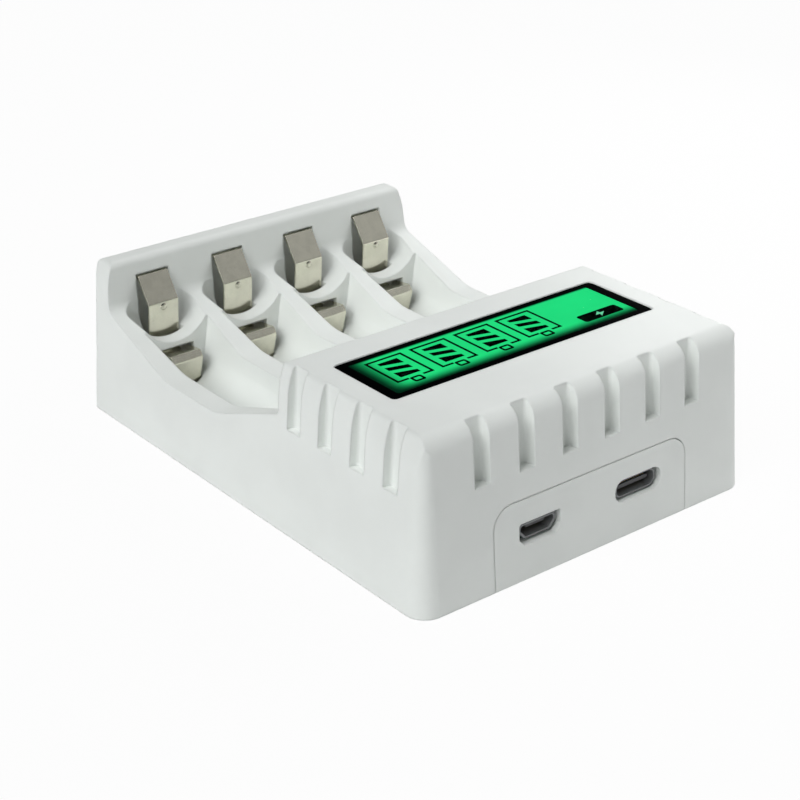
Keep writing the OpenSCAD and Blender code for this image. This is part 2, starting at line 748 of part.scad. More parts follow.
upper_housing();
base_cover();
display_lens();
lcd_panel();
backlight_panel();
display_board();
board_link();
circuit_board();
controller_chip();
charge_transistors();
filter_capacitor();
usb_c_socket();
usb_c_tongue();
micro_usb_socket();
micro_usb_tongue();
negative_bus();
aa_contact_1();
aa_contact_2();
aa_contact_3();
aa_contact_4();
aaa_contact_1();
aaa_contact_2();
aaa_contact_3();
aaa_contact_4();
positive_contact_1();
positive_contact_2();
positive_contact_3();
positive_contact_4();
cover_screws();
board_screws();
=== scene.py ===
# %% [markdown]
# # Four-bay cell charger: the looks
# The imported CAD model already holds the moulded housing, the base cover with its port panel,
# the bent contact strips and the parts inside. This lesson dresses it: satin white plastic, nickel
# strips, a lit green display with its segments, a floor, soft light and the photograph's camera.

# %% The CAD frame
import math

import bmesh
import bpy
from mathutils import Matrix, Vector


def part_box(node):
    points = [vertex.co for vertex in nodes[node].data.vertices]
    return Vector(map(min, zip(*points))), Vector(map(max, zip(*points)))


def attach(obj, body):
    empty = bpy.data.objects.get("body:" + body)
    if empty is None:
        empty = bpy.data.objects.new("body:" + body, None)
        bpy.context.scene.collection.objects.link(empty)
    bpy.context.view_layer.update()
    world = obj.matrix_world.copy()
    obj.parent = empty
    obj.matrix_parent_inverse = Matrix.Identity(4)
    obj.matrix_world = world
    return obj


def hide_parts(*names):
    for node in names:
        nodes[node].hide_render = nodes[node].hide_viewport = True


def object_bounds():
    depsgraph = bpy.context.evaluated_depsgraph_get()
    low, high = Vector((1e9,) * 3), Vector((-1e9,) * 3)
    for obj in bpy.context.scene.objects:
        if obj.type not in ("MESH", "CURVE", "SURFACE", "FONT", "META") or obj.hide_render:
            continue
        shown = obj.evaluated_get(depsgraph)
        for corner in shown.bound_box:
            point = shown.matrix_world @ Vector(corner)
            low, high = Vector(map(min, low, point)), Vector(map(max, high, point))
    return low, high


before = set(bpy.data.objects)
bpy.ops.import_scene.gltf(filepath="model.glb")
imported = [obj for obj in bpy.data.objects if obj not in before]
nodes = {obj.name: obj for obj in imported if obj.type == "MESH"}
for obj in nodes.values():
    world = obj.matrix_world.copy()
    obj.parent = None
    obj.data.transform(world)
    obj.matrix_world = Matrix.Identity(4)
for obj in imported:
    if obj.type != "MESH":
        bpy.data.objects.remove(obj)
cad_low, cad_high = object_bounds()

MM = 0.001

# %% [markdown]
# ## Shared surface effects
# Several finishes share the same marks: grain from the mould, rounded edges, lines from the rolls.
# Each could be drawn again in every material, but a node group draws it once, and a material then
# sets its own sizes. Object coordinates are in metres on every CAD node, so a size in millimetres
# means the same on the housing and on a screw. These first helpers keep the node code short.

# %% Helpers for node trees
def new_group(name, inputs, outputs):
    """A shader node group with named sockets; returns the tree, its input and its output node."""
    tree = bpy.data.node_groups.new(name, "ShaderNodeTree")
    for label, kind, value in inputs:
        tree.interface.new_socket(label, in_out="INPUT", socket_type=kind).default_value = value
    for label, kind in outputs:
        tree.interface.new_socket(label, in_out="OUTPUT", socket_type=kind)
    return tree, tree.nodes.new("NodeGroupInput"), tree.nodes.new("NodeGroupOutput")


def feed(tree, socket, source):
    """Links a socket to its source, or sets it to a plain value."""
    if isinstance(source, bpy.types.NodeSocket):
        tree.links.new(source, socket)
    else:
        socket.default_value = source


def add(tree, kind, links=None, **settings):
    """Adds a node, sets its properties, and feeds its inputs."""
    node = tree.nodes.new(kind)
    for key, value in settings.items():
        setattr(node, key, value)
    for key, source in (links or {}).items():
        feed(tree, node.inputs[key], source)
    return node


print("helpers:", new_group.__name__, feed.__name__, add.__name__)

# %% Helpers for values and colours
def math_node(tree, operation, a, b=0.0, clamp=False):
    return add(tree, "ShaderNodeMath", {0: a, 1: b}, operation=operation, use_clamp=clamp).outputs[0]


def ramp_value(tree, value, low, high, out_low=0.0, out_high=1.0, smooth=True):
    """Maps low..high of a value to out_low..out_high, held at the ends."""
    node = add(tree, "ShaderNodeMapRange",
               {"Value": value, "From Min": low, "From Max": high, "To Min": out_low, "To Max": out_high},
               clamp=True, interpolation_type="SMOOTHSTEP" if smooth else "LINEAR")
    return node.outputs["Result"]


def mix_colour(tree, factor, a, b):
    node = add(tree, "ShaderNodeMix", data_type="RGBA")
    for socket, source in ((node.inputs[0], factor), (node.inputs[6], a), (node.inputs[7], b)):
        feed(tree, socket, source)
    return node.outputs[2]


def object_place(tree):
    """The point on the surface, in metres in the part's own frame."""
    return add(tree, "ShaderNodeTexCoord").outputs["Object"]


def noise(tree, vector, size_mm, detail=2.0, roughness=0.5):
    """Noise whose grains are about size_mm across, from 0 to 1."""
    return add(tree, "ShaderNodeTexNoise", {"Vector": vector, "Scale": 1 / (size_mm * MM),
               "Detail": detail, "Roughness": roughness}).outputs["Fac"]


print("helpers:", math_node.__name__, ramp_value.__name__, mix_colour.__name__, noise.__name__)

# %% [markdown]
# ### Mould grain
# A mould leaves a fine spark-eroded grain on every plastic piece, and slow waves where the melt
# flowed. A scanned picture would need unwrapped meshes. Two sizes of noise in object space need none,
# and never show a seam.

# %% Mould grain
FLOW_MM, FLOW_SHARE = 16, 0.6


def make_mould_grain():
    tree, given, out = new_group(
        "Mould grain", [("Grain mm", "NodeSocketFloat", 0.3)],
        [("Height", "NodeSocketFloat"), ("Grain", "NodeSocketFloat"), ("Flow", "NodeSocketFloat")])
    where = object_place(tree)
    scale = math_node(tree, "DIVIDE", 1 / MM, given.outputs["Grain mm"])
    fine = add(tree, "ShaderNodeTexNoise", {"Vector": where, "Scale": scale, "Detail": 3.0}).outputs["Fac"]
    flow = noise(tree, where, FLOW_MM, 3)
    height = math_node(tree, "ADD", fine, math_node(tree, "MULTIPLY", flow, FLOW_SHARE))
    for label, source in (("Height", height), ("Grain", fine), ("Flow", flow)):
        tree.links.new(source, out.inputs[label])
    return tree


mould_grain = make_mould_grain()
print("group:", mould_grain.name, len(mould_grain.nodes), "nodes")

# %% [markdown]
# ### Soft edges
# Real edges are never sharp: moulded plastic leaves a radius of a few tenths of a millimetre, and
# handling polishes it. The large radii are in the solids. For the small ones Cycles' Bevel node finds
# the edges: its bent normal softens the highlight, and how far it turns from the face's own normal is
# a mask for the polish and for a painted highlight that lightens the edges' colour.

# %% Soft edges
FLAT_COSINE, EDGE_COSINE = 0.999, 0.86


def make_soft_edges():
    tree, given, out = new_group("Soft edges", [("Radius mm", "NodeSocketFloat", 0.3)],
                                 [("Normal", "NodeSocketVector"), ("Edge", "NodeSocketFloat")])
    radius = math_node(tree, "MULTIPLY", given.outputs["Radius mm"], MM)
    bent = add(tree, "ShaderNodeBevel", {"Radius": radius}, samples=6).outputs["Normal"]
    own = add(tree, "ShaderNodeNewGeometry").outputs["Normal"]
    same = add(tree, "ShaderNodeVectorMath", {0: bent, 1: own}, operation="DOT_PRODUCT").outputs["Value"]
    tree.links.new(bent, out.inputs["Normal"])
    tree.links.new(ramp_value(tree, same, FLAT_COSINE, EDGE_COSINE), out.inputs["Edge"])
    return tree


soft_edges = make_soft_edges()
print("group:", soft_edges.name, len(soft_edges.nodes), "nodes")

# %% [markdown]
# ### Rolled metal
# Rolled strip and drawn shells carry fine straight lines from the rolls. Single scratches could be
# modelled, but they are far thinner than a pixel. Noise that is stretched along one direction gives
# their sheen, and a second, broad noise gives the faint stain of handled metal.

# %% Rolled metal
STAIN_MM = 2.2


def make_rolled_lines():
    tree, given, out = new_group(
        "Rolled lines", [("Stretch", "NodeSocketVector", (1, 1, 1)), ("Line mm", "NodeSocketFloat", 0.1)],
        [("Lines", "NodeSocketFloat"), ("Stain", "NodeSocketFloat")])
    where = object_place(tree)
    pulled = add(tree, "ShaderNodeVectorMath", {0: where, 1: given.outputs["Stretch"]},
                 operation="MULTIPLY").outputs["Vector"]
    scale = math_node(tree, "DIVIDE", 1 / MM, given.outputs["Line mm"])
    lines = add(tree, "ShaderNodeTexNoise",
                {"Vector": pulled, "Scale": scale, "Detail": 4.0, "Roughness": 0.65}).outputs["Fac"]
    tree.links.new(lines, out.inputs["Lines"])
    tree.links.new(noise(tree, where, STAIN_MM, 4, 0.6), out.inputs["Stain"])
    return tree


rolled_lines = make_rolled_lines()
print("group:", rolled_lines.name, len(rolled_lines.nodes), "nodes")

# %% [markdown]
# ## Materials
# Every finish is one Principled BSDF. Numbers that hold all over the surface sit on its own sockets,
# where any other program can read them, and only what changes over the surface comes in through links.

# %% Material helpers
def linear(*srgb):
    """An sRGB colour of 0 to 255 as the linear RGBA that Blender's sockets take."""
    share = [v / 255 for v in srgb]
    return tuple(c / 12.92 if c <= 0.04045 else ((c + 0.055) / 1.055) ** 2.4 for c in share) + (1.0,)


def scaled(colour, factor):
    """The same colour, lighter or darker, and never over white."""
    return tuple(min(1.0, c * factor) for c in colour[:3]) + (1.0,)


def new_material(name, **sockets):
    """A material with plain values on its shader; returns the material, its tree and the shader."""
    material = bpy.data.materials.new(name)
    material.use_nodes = True
    tree = material.node_tree
    shader = tree.nodes["Principled BSDF"]
    for label, value in sockets.items():
        shader.inputs[label.replace("_", " ")].default_value = value
    return material, tree, shader


def use_group(tree, group, **values):
    """Places a shared effect with this material's own sizes; returns its outputs."""
    node = tree.nodes.new("ShaderNodeGroup")
    node.node_tree = group
    for label, value in values.items():
        node.inputs[label.replace("_", " ")].default_value = value
    return node.outputs


print("white as linear:", [round(c, 3) for c in linear(243, 246, 243)])

# %% [markdown]
# ### Moulded plastic
# The housing and the cover are white plastic with a satin skin. A flat colour would look like paper.
# The flow marks shift the colour by a few hundredths, the grain breaks up the gloss, and the edges are
# a touch smoother where a hand rubs them, and a touch lighter with a painted highlight.

# %% Moulded plastic
def moulded(name, colour, rough, grain_mm, relief_mm, edge_mm, **sockets):
    """Moulded plastic with grain, flow marks and softened, slightly polished edges that carry a painted
    highlight.
    """
    material, tree, shader = new_material(name, **sockets)
    grain = use_group(tree, mould_grain, Grain_mm=grain_mm)
    edge = use_group(tree, soft_edges, Radius_mm=edge_mm)
    body = mix_colour(tree, ramp_value(tree, grain["Flow"], 0.35, 0.65), scaled(colour, 0.965), colour)
    # painted highlight: the colour is a little lighter along the edges
    edge_highlight = math_node(tree, "MULTIPLY", edge["Edge"], 0.6)
    tree.links.new(mix_colour(tree, edge_highlight, body, scaled(colour, 1.04)), shader.inputs["Base Color"])
    gloss = ramp_value(tree, grain["Grain"], 0.3, 0.7, rough - 0.05, rough + 0.05, smooth=False)
    polish = math_node(tree, "MULTIPLY", edge["Edge"], 0.1)
    tree.links.new(math_node(tree, "SUBTRACT", gloss, polish), shader.inputs["Roughness"])
    bump = add(tree, "ShaderNodeBump", {"Height": grain["Height"], "Normal": edge["Normal"],
                                        "Strength": 0.5, "Distance": relief_mm * MM})
    tree.links.new(bump.outputs["Normal"], shader.inputs["Normal"])
    return material


satin_white = moulded("satin_white", linear(243, 246, 243), 0.42, 0.35, 0.012, 0.5, IOR=1.5)
satin_cover = moulded("satin_cover", linear(242, 245, 242), 0.45, 0.3, 0.014, 0.3, IOR=1.5)
black_resin = moulded("black_resin", linear(38, 38, 40), 0.5, 0.2, 0.01, 0.12, IOR=1.5)
tongue_grey = moulded("tongue_grey", linear(86, 86, 88), 0.5, 0.2, 0.01, 0.12, IOR=1.5)
diffuser_white = moulded("diffuser_white", linear(225, 232, 226), 0.5, 0.4, 0.01, 0.2)
print("plastics:", [m.name for m in bpy.data.materials])

# %% [markdown]
# ### Metal
# The contacts are nickel-plated strip, and the sockets' shells are dull drawn steel. One function makes
# them all: a stain that darkens the colour, a painted highlight that lightens the edges, and rolling lines
# in the gloss and the relief. The dull shells are only partly metallic, so that light finds its way inside.

# %% Metal
def metal(name, colour, rough, stretch, line_mm, relief_mm, edge_mm=0.12, metallic=1.0):
    """Plated or bare metal with rolling lines, a faint stain and a painted highlight on its edges."""
    material, tree, shader = new_material(name, Metallic=metallic)
    lines = use_group(tree, rolled_lines, Stretch=stretch, Line_mm=line_mm)
    edge = use_group(tree, soft_edges, Radius_mm=edge_mm)
    body = mix_colour(tree, ramp_value(tree, lines["Stain"], 0.35, 0.7), colour, scaled(colour, 0.92))
    # painted highlight: the colour is lighter along the edges
    edge_glint = math_node(tree, "MULTIPLY", edge["Edge"], 0.7)
    tree.links.new(mix_colour(tree, edge_glint, body, scaled(colour, 1.12)), shader.inputs["Base Color"])
    gloss = ramp_value(tree, lines["Lines"], 0.3, 0.7, rough - 0.06, rough + 0.08, smooth=False)
    tree.links.new(gloss, shader.inputs["Roughness"])
    bump = add(tree, "ShaderNodeBump", {"Height": lines["Lines"], "Normal": edge["Normal"],
                                        "Strength": 0.4, "Distance": relief_mm * MM})
    tree.links.new(bump.outputs["Normal"], shader.inputs["Normal"])
    return material


ALONG_STRIP, ALONG_SHELL, EVERY_WAY = (1.0, 0.08, 0.08), (1.0, 0.1, 1.0), (1.0, 1.0, 1.0)
ALONG_PAD = (1.0, 0.2, 1.0)
nickel = metal("nickel_strip", linear(224, 221, 205), 0.18, ALONG_STRIP, 0.12, 0.0015)
shell_steel = metal("shell_steel", linear(134, 136, 137), 0.5, ALONG_SHELL, 0.1, 0.003, metallic=0.25)
screw_steel = metal("screw_steel", linear(170, 170, 168), 0.35, EVERY_WAY, 0.15, 0.004)
gold_pad = metal("gold_pad", linear(214, 178, 96), 0.3, ALONG_PAD, 0.08, 0.002, 0.05)
print("metals:", [m.name for m in (nickel, shell_steel, screw_steel, gold_pad)])

# %% [markdown]
# ### Circuit board
# The boards are glass fibre under green lacquer. They are inside, and show only to someone who opens
# the cover, so a checker as fine as the weave and a slow cloud in the lacquer are enough.

# %% Circuit board
WEAVE_MM, LACQUER_MM = 0.5, 5


def solder_mask():
    material, tree, shader = new_material("board_green", Roughness=0.35, IOR=1.52)
    where = object_place(tree)
    weave = add(tree, "ShaderNodeTexChecker", {"Vector": where, "Scale": 1 / (WEAVE_MM * MM),
                                               "Color1": linear(10, 74, 40), "Color2": linear(14, 84, 46)})
    cloud = ramp_value(tree, noise(tree, where, LACQUER_MM, 3), 0.4, 0.6, 0.0, 0.35)
    tree.links.new(mix_colour(tree, cloud, weave.outputs["Color"], linear(8, 58, 34)),
                   shader.inputs["Base Color"])
    bump = add(tree, "ShaderNodeBump", {"Height": weave.outputs["Fac"], "Strength": 0.3, "Distance": 0.01 * MM})
    tree.links.new(bump.outputs["Normal"], shader.inputs["Normal"])
    return material


board_green = solder_mask()
print("board:", board_green.name)

# %% [markdown]
# ### Dressing the CAD nodes
# The solids already have the right shapes, so they stay as they are and only get their finish. Each
# node's name says what it is, and a table from name to finish is easier to read than a call for each.

# %% Finishes on the CAD nodes
FINISH = {
    "upper_housing": satin_white, "base_cover": satin_cover,
    "lcd_panel": diffuser_white, "backlight_panel": diffuser_white,
    "display_board": board_green, "circuit_board": board_green, "board_link": black_resin,
    "controller_chip": black_resin, "charge_transistors": black_resin, "filter_capacitor": screw_steel,
    "usb_c_socket": shell_steel, "usb_c_tongue": tongue_grey,
    "micro_usb_socket": shell_steel, "micro_usb_tongue": tongue_grey,
    "negative_bus": nickel, "cover_screws": screw_steel, "board_screws": screw_steel,
}
for kind in ("aa", "aaa", "positive"):
    for n in range(1, 5):
        FINISH[f"{kind}_contact_{n}"] = nickel
for name, material in FINISH.items():
    nodes[name].data.materials.clear()
    nodes[name].data.materials.append(material)
print("dressed:", len(FINISH), "nodes")

# %% [markdown]
# ## The display
# The lens is a clear pane in a black border, and under it lies the display cell with its dark
# segments on lit green. A picture could be painted on one flat face, but then the segments would have
# no depth. Here the border, the pane, the cell's front film and the segments are meshes of their own.
# All of them are flat shapes with a thickness, so two small builders make them: a plate and a ring.

# %% Flat outlines
def rounded_rectangle(x0, y0, x1, y1, radius, steps=6):
    """Corner points of a rectangle with round corners, counter-clockwise, in mm."""
    points = []
    for cx, cy, start in ((x1 - radius, y1 - radius, 0), (x0 + radius, y1 - radius, 90),
                          (x0 + radius, y0 + radius, 180), (x1 - radius, y0 + radius, 270)):
        for k in range(steps + 1):
            a = math.radians(start + 90 * k / steps)
            points.append((cx + radius * math.cos(a), cy + radius * math.sin(a)))
    return points


def plate(bm, outline, z0, z1):
    """A flat plate on an outline, from z0 to z1 in mm."""
    low = [bm.verts.new((x * MM, y * MM, z0 * MM)) for x, y in outline]
    high = [bm.verts.new((x * MM, y * MM, z1 * MM)) for x, y in outline]
    bm.faces.new(high)
    bm.faces.new(low[::-1])
    for i in range(len(low)):
        j = (i + 1) % len(low)
        bm.faces.new((low[i], low[j], high[j], high[i]))


def ring(bm, outer, inner, z0, z1):
    """A frame between two outlines with the same number of points."""
    loops = [[bm.verts.new((x * MM, y * MM, z * MM)) for x, y in line] for line, z in
             ((outer, z0), (outer, z1), (inner, z1), (inner, z0))]
    for a, b in zip(loops, loops[1:] + loops[:1]):
        for i in range(len(a)):
            j = (i + 1) % len(a)
            bm.faces.new((a[i], a[j], b[j], b[i]))


print("a round corner:", len(rounded_rectangle(0, 0, 1, 1, 0.1)) // 4, "points")

# %% Finishing a piece
BEVEL_ANGLE = math.radians(40)


def finish_piece(bm, name, material, bevel_mm=0.0):
    """Makes an object of the mesh, softens its edges, and lets it ride on the charger's body."""
    bmesh.ops.recalc_face_normals(bm, faces=bm.faces)
    mesh = bpy.data.meshes.new(name)
    bm.to_mesh(mesh)
    bm.free()
    mesh.materials.append(material)
    piece = bpy.data.objects.new(name, mesh)
    bpy.context.scene.collection.objects.link(piece)
    if bevel_mm:
        soft = piece.modifiers.new("Soft edges", "BEVEL")
        soft.width, soft.segments, soft.limit_method = bevel_mm * MM, 3, "ANGLE"
        soft.angle_limit = BEVEL_ANGLE
        soft.harden_normals = True
        mesh.polygons.foreach_set("use_smooth", [True] * len(mesh.polygons))
    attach(piece, "charger")
    return piece


print("edges sharper than", round(math.degrees(BEVEL_ANGLE)), "degrees get a bevel")

# %% [markdown]
# ### Border and pane
# The border is a black print on the lens, and the pane shows hardly any reflection, as with a coat
# against glare. Both could be one mesh with two materials. As two pieces, the border keeps its own
# small bevel, and the pane can be clear right through. Together they stand for the CAD lens.

# %% Border and pane
lens_low, lens_high = (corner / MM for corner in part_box("display_lens"))
WINDOW = (-25.75, lens_low.y + 1.5, 25.85, lens_high.y - 1.1)
WINDOW_CORNER, LENS_CORNER, FIT = 0.5, 0.8, 0.02
FILM = lens_high.z - 0.14
PANE_LOW, PANE_HIGH = FILM + 0.05, lens_high.z - 0.02
NO_GLARE = 0.0005


def black_border():
    """Black print: smooth, with the faintest dust in its gloss."""
    material, tree, shader = new_material("black_border", Base_Color=linear(2, 3, 3),
                                          Specular_IOR_Level=NO_GLARE)
    dust = noise(tree, object_place(tree), 1.4, 4, 0.6)
    tree.links.new(ramp_value(tree, dust, 0.35, 0.7, 0.16, 0.26), shader.inputs["Roughness"])
    return material


def clear_pane():
    """Clear acrylic with a coat against glare, so its index is low."""
    material, tree, shader = new_material("clear_pane", Base_Color=(0.97, 1.0, 0.985, 1), IOR=1.001,
                                          Transmission_Weight=1.0)
    haze = noise(tree, object_place(tree), 2.5, 3, 0.6)
    tree.links.new(ramp_value(tree, haze, 0.4, 0.75, 0.0, 0.03), shader.inputs["Roughness"])
    return material


inside = rounded_rectangle(*WINDOW, WINDOW_CORNER)
opening = rounded_rectangle(WINDOW[0] + FIT, WINDOW[1] + FIT, WINDOW[2] - FIT, WINDOW[3] - FIT,
                            WINDOW_CORNER - FIT)
bm = bmesh.new()
ring(bm, rounded_rectangle(lens_low.x, lens_low.y, lens_high.x, lens_high.y, LENS_CORNER), inside,
     lens_low.z, lens_high.z)
lens_border = finish_piece(bm, "lens_border", black_border(), 0.12)
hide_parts("display_lens")
bm = bmesh.new()
plate(bm, opening, PANE_LOW, PANE_HIGH)
finish_piece(bm, "lens_pane", clear_pane(), 0.04)
print("lens:", [round(v, 2) for v in (*lens_low, *lens_high)], "window:", [round(v, 2) for v in WINDOW])

# %% [markdown]
# ### The lit film
# The cell glows green, and painted shade darkens it along the window's edges: at the left, along the
# front and in a thin line at the rear. The film glows by itself, and three ramps along X and Y multiply
# to that painted shade. Its sides stay dark.

# %% The lit film
# painted shade: the second colour and the three ranges below darken the film near the window's edges
LIT, SHADED_GREEN, UNLIT = linear(34, 222, 128), linear(0, 34, 18), linear(4, 16, 10)
SIDE_SHADE = (WINDOW[0] + 0.2, WINDOW[0] + 5)
FRONT_SHADE = (WINDOW[1] + 0.2, WINDOW[1] + 3)
REAR_SHADE = (WINDOW[3] + 0.1, WINDOW[3] - 0.6)
FACE_ONLY = (FILM - 0.04, FILM - 0.01)


def lit_cell():
    """Lit green, with painted shade along the window's left, front and rear edges."""
    material, tree, shader = new_material("lit_cell", Base_Color=UNLIT, Roughness=0.35,
                                          Specular_IOR_Level=NO_GLARE, Emission_Strength=1.0)
    place = object_place(tree)
    axis = add(tree, "ShaderNodeSeparateXYZ", {0: place}).outputs
    side, front, rear, top = (
        ramp_value(tree, axis[name], begin * MM, end * MM) for name, (begin, end) in
        (("X", SIDE_SHADE), ("Y", FRONT_SHADE), ("Y", REAR_SHADE), ("Z", FACE_ONLY)))
    # painted shade: the three ramps darken the green towards the window's edges
    unshaded = math_node(tree, "MULTIPLY", math_node(tree, "MULTIPLY", side, front), rear)
    cloud = ramp_value(tree, noise(tree, place, 9, 2), 0.3, 0.7, 0.94, 1.0)
    face = mix_colour(tree, math_node(tree, "MULTIPLY", unshaded, cloud), SHADED_GREEN, LIT)
    tree.links.new(mix_colour(tree, top, (0, 0, 0, 1), face), shader.inputs["Emission Color"])
    return material


bm = bmesh.new()
plate(bm, opening, lens_low.z + 0.05, FILM)
finish_piece(bm, "display_film", lit_cell())
print("display film's face at z", round(FILM, 3))

# %% [markdown]
# ### Display segments
# The segments show four cells with three charge bars each and a small terminal, and a black tag with
# a charging bolt. On the real cell they are dark crystal between two glasses. A node pattern could
# draw them, but their slanted bars are simpler as outlines, so they are foil-thin plates on the film's
# face. The picture reads from the bays' side, where the hand puts in the cells, so the terminals point
# to the sockets.

# %% One cell on the display
LINE, FOIL = 0.47, 0.03
CASE = (-3.72, -4.33, 3.66, 4.4)
FOOT = (-1.25, -5.78, 0.95, -3.98)
FOOT_GAP = (0.1, 0.6)
BARS = (((-2.05, 3.06), (-2.05, 2.27), (1.85, 1.17), (1.85, 3.06)),
        ((-2.05, 1.2), (-2.05, -0.02), (1.85, -1.07), (1.85, 0.11)),
        ((-2.05, -1.1), (-2.05, -3.03), (1.85, -3.03), (1.85, -2.17)))


def battery_icon(bm, x, y):
    """One cell: an outline that opens at its terminal, three slanted bars and the terminal's ring."""
    z0, z1 = FILM, FILM + FOIL
    x0, y0, x1, y1 = x + CASE[0], y + CASE[1], x + CASE[2], y + CASE[3]
    foot = (x + FOOT[0], y + FOOT[1], x + FOOT[2], y + FOOT[3])
    hole = (foot[0] + LINE, foot[1] + LINE, foot[2] - LINE, foot[3] - LINE)
    for strip in ((x0, y0, x0 + LINE, y1), (x1 - LINE, y0, x1, y1), (x0 + LINE, y1 - LINE, x1 - LINE, y1),
                  (x0 + LINE, y0, foot[0] - FOOT_GAP[0], y0 + LINE),
                  (foot[2] + FOOT_GAP[1], y0, x1 - LINE, y0 + LINE)):
        plate(bm, rounded_rectangle(*strip, 0.02, 1), z0, z1)
    for bar in BARS:
        plate(bm, [(x + a, y + b) for a, b in bar], z0, z1)
    ring(bm, rounded_rectangle(*foot, 0.42), rounded_rectangle(*hole, 0.12), z0, z1)


print("one cell:", round(CASE[2] - CASE[0], 2), "by", round(CASE[3] - CASE[1], 2), "mm")

# %% Inks
LEAK_MM = 1.2


def leak(tree):
    """A mask of how much green leaks through the crystal."""
    return ramp_value(tree, noise(tree, object_place(tree), LEAK_MM, 2), 0.3, 0.7)


def segment_ink():
    """Switched liquid crystal: nearly black, with a trace of the green that leaks through."""
    material, tree, shader = new_material("segment_ink", Roughness=0.4, Specular_IOR_Level=NO_GLARE)
    dark = mix_colour(tree, leak(tree), linear(1, 8, 5), linear(2, 14, 8))
    tree.links.new(dark, shader.inputs["Base Color"])
    return material


def lit_mark():
    """A gap in the tag, through which the pale backlight shows."""
    material, tree, shader = new_material("lit_mark", Base_Color=UNLIT, Roughness=0.4,
                                          Specular_IOR_Level=NO_GLARE, Emission_Strength=1.0)
    pale = mix_colour(tree, leak(tree), linear(90, 200, 150), linear(120, 220, 170))
    tree.links.new(pale, shader.inputs["Emission Color"])
    return material


ink, mark = segment_ink(), lit_mark()
print("inks:", ink.name, mark.name)

# %% Four cells, the tag and its bolt
ICON_X, ICON_Y = (-19.62, -10.58, -1.35, 7.63), -24.0
TAG, TAG_CORNER = (15.5, -29.75, 24.25, -27.0), 0.5
BOLT = ((0.1, 0.95), (-1.1, -0.1), (-0.15, -0.1), (-0.45, -0.95), (1.1, 0.25), (0.2, 0.25))
bm = bmesh.new()
for x in ICON_X:
    battery_icon(bm, x, ICON_Y)
plate(bm, rounded_rectangle(*TAG, TAG_CORNER), FILM, FILM + FOIL)
segments = finish_piece(bm, "display_segments", ink)
bm = bmesh.new()
tag_x, tag_y = (TAG[0] + TAG[2]) / 2, (TAG[1] + TAG[3]) / 2
plate(bm, [(tag_x + a, tag_y + b) for a, b in BOLT], FILM + FOIL, FILM + FOIL + 0.01)
finish_piece(bm, "charging_bolt", mark)
print("segments:", len(segments.data.polygons), "faces, top at", round(FILM + FOIL, 2))

# %% [markdown]
# ## Inlets
# A plug's springs slide on gold pads along the sockets' tongues. They are too thin for the solids,
# and a colour on the tongue would have no step at its edge, so they are laid on here as short raised
# strips, above and below the tongue.

# %% Gold pads
PAD_START, PAD_RISE, PAD_CORNER = 0.25, 0.02, 0.05


def pad_rows(name, node, count, pitch, width, length):
    low, high = (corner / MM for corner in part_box(node))
    middle = (low.x + high.x) / 2
    begin = low.y + PAD_START
    bm = bmesh.new()
    for i in range(count):
        x = middle + (i - (count - 1) / 2) * pitch
        outline = rounded_rectangle(x - width / 2, begin, x + width / 2, begin + length, PAD_CORNER, 2)
        plate(bm, outline, low.z - PAD_RISE, low.z)
        plate(bm, outline, high.z, high.z + PAD_RISE)
    return finish_piece(bm, name, gold_pad)


pads = [pad_rows("usb_c_pads", "usb_c_tongue", 12, 0.5, 0.26, 3.2),
        pad_rows("micro_usb_pads", "micro_usb_tongue", 5, 0.65, 0.3, 2.8)]
print("pads:", [len(p.data.polygons) for p in pads], "faces")

# %% [markdown]
# ## Studio
# The part stands on pure white in the photograph. A plain floor would look white only under more light
# than the pale plastic can take. So its material shows the camera and the mirrors an almost plain
# white, and the light that falls on it adds only the last twentieth, which still holds the shadow.

# %% White floor material
FLOOR_WHITE_SHARE = 0.95


def studio_floor():
    material, tree, shader = new_material("floor_white", Base_Color=(0.85, 0.85, 0.85, 1))
    cloud = noise(tree, object_place(tree), 60, 3)
    tree.links.new(ramp_value(tree, cloud, 0.3, 0.7, 0.86, 0.94), shader.inputs["Roughness"])
    rays = add(tree, "ShaderNodeLightPath").outputs
    mirrored = math_node(tree, "ADD", rays["Is Glossy Ray"], rays["Is Transmission Ray"])
    seen = math_node(tree, "ADD", rays["Is Camera Ray"], mirrored, clamp=True)
    white = add(tree, "ShaderNodeEmission", {"Color": (1, 1, 1, 1), "Strength": 1.0}).outputs[0]
    share = math_node(tree, "MULTIPLY", seen, FLOOR_WHITE_SHARE)
    mixed = add(tree, "ShaderNodeMixShader", {0: share, 1: shader.outputs[0], 2: white}).outputs[0]
    tree.links.new(mixed, tree.nodes["Material Output"].inputs["Surface"])
    return material


floor_white = studio_floor()
print("floor material:", floor_white.name)

# %% [markdown]
# ### Floor and backdrop
# The floor is wide enough for a low camera, and a round backdrop closes the view from every side.
# The backdrop is for the camera alone: it neither lights the part, nor shades it, nor shows in the
# nickel and the display.

# %% Floor and backdrop
FLOOR_HALF, BACKDROP_RADIUS, BACKDROP_HEIGHT, BACKDROP_MIDDLE = 3.0, 2.9, 1.2, 0.55
FLOOR_DROP = 0.02 * MM


def stage_piece(bm, name, z):
    mesh = bpy.data.meshes.new(name)
    bm.to_mesh(mesh)
    bm.free()
    mesh.materials.append(floor_white)
    obj = bpy.data.objects.new(name, mesh)
    obj.location.z = z
    bpy.context.scene.collection.objects.link(obj)
    return obj


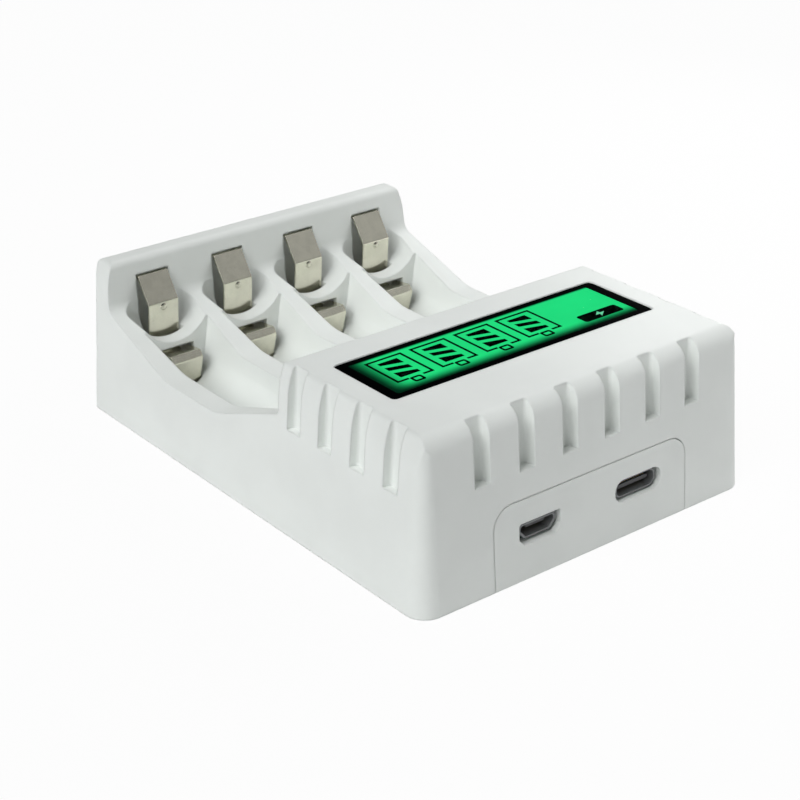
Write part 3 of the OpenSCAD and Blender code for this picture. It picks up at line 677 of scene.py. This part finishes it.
bm = bmesh.new()
bmesh.ops.create_grid(bm, x_segments=8, y_segments=8, size=FLOOR_HALF)
floor = stage_piece(bm, "studio_floor", cad_low.z - FLOOR_DROP)
bm = bmesh.new()
bmesh.ops.create_cone(bm, cap_ends=False, segments=96, radius1=BACKDROP_RADIUS, radius2=BACKDROP_RADIUS,
                      depth=BACKDROP_HEIGHT)
backdrop = stage_piece(bm, "studio_backdrop", BACKDROP_MIDDLE)
backdrop.visible_diffuse = backdrop.visible_glossy = backdrop.visible_shadow = False
print("stage:", floor.name, backdrop.name)

# %% [markdown]
# ### Sky
# The part's faces tell where the light came from: a large soft box high on the left, a fill on the
# right, and hardly any from the front. Area lamps could stand there, but near ones fade along the part.
# Soft round patches in the sky light it evenly from end to end, and give the nickel smooth bands.

# %% Sky
SKY_TINT = (0.985, 1.0, 1.0, 1)
# azimuth and elevation in degrees, cosine of the half width, strength
SKY_PATCHES = {
    "broad key": (-81, 45, 0.82, 2.7),
    "key": (-78, 45, 0.9, 2.5),
    "rear right": (121, 20, 0.82, 0.45),
    "fill": (80, 18, 0.3, 0.56),
}


def towards(azimuth, elevation):
    """A direction from the part: azimuth 0 is the socket side, 90 is +X, elevation is above the floor."""
    a, e = math.radians(azimuth), math.radians(elevation)
    return math.sin(a) * math.cos(e), -math.cos(a) * math.cos(e), math.sin(e)


world = bpy.data.worlds.new("studio_sky")
bpy.context.scene.world = world
world.use_nodes = True
sky = world.node_tree
looking = add(sky, "ShaderNodeTexCoord").outputs["Generated"]
level = None
for azimuth, elevation, begin, strength in SKY_PATCHES.values():
    facing = add(sky, "ShaderNodeVectorMath", {0: looking, 1: towards(azimuth, elevation)},
                 operation="DOT_PRODUCT").outputs["Value"]
    patch = ramp_value(sky, facing, begin, 1.0, 0.0, strength)
    level = patch if level is None else math_node(sky, "ADD", level, patch)
background = sky.nodes["Background"]
background.inputs["Color"].default_value = SKY_TINT
sky.links.new(level, background.inputs["Strength"])
print("sky:", list(SKY_PATCHES))

# %% [markdown]
# ### Lamps
# In the photograph the head's right end is a little brighter than its left, which a sky can't give.
# Two small lamps near that end can, because their light fades over a few centimetres. The first stays
# out of mirrors, so that it leaves no glare on the strips. The second lends the plastic its sheen.

# %% Lamps
LAMP_AIM, LAMP_SIZE = Vector((0, 0, 0.02)), 0.12


def lamp(name, at, watts, mirrored):
    data = bpy.data.lights.new(name, "AREA")
    data.shape, data.size, data.energy = "DISK", LAMP_SIZE, watts
    obj = bpy.data.objects.new(name, data)
    obj.location = at
    obj.rotation_mode = "QUATERNION"
    obj.rotation_quaternion = (LAMP_AIM - Vector(at)).to_track_quat("-Z", "Y")
    obj.visible_glossy = mirrored
    bpy.context.scene.collection.objects.link(obj)
    return obj


lamps = [lamp("near_right", (0.18, -0.06, 0.16), 0.12, False),
         lamp("rear_right", (0.21, 0.09, 0.12), 0.09, True)]
print("lamps:", [o.name for o in lamps])

# %% [markdown]
# ## Camera
# The camera was fitted to the moulded edges in the photograph: 800 by 800 pixels, a lens of 84 mm
# on a 36 mm sensor, from the front left and a little above. Its axes are built from azimuth, elevation
# and roll, and the lens shift puts the picture's middle where the fit found it.

# %% Camera
AZIMUTH, ELEVATION, ROLL = (math.radians(v) for v in (-38.360, 24.803, -0.350))
TARGET, DISTANCE = Vector((0, 0, 15.3 * MM)), 326.16 * MM
FOCAL_PX, MIDDLE_PX, PICTURE_PX, SENSOR_MM = 1858.6, (402.42, 363.68), 800, 36.0
back = Vector((math.sin(AZIMUTH) * math.cos(ELEVATION), -math.cos(AZIMUTH) * math.cos(ELEVATION),
               math.sin(ELEVATION)))
level_right = Vector((math.cos(AZIMUTH), math.sin(AZIMUTH), 0))
level_up = back.cross(level_right)
right = level_right * math.cos(ROLL) + level_up * math.sin(ROLL)
up = level_up * math.cos(ROLL) - level_right * math.sin(ROLL)
data = bpy.data.cameras.new("camera")
data.sensor_width = SENSOR_MM
data.lens = FOCAL_PX * SENSOR_MM / PICTURE_PX
data.shift_x = (PICTURE_PX / 2 - MIDDLE_PX[0]) / PICTURE_PX
data.shift_y = (MIDDLE_PX[1] - PICTURE_PX / 2) / PICTURE_PX
data.clip_start, data.clip_end = 0.01, 20.0
camera = bpy.data.objects.new("camera", data)
axes = Matrix((right, up, back)).transposed().to_4x4()
camera.matrix_world = Matrix.Translation(TARGET + back * DISTANCE) @ axes
bpy.context.scene.collection.objects.link(camera)
bpy.context.scene.camera = camera
bpy.context.scene.view_settings.view_transform = "Standard"
print("camera:", [round(v, 4) for v in camera.location], "lens", round(data.lens, 2))
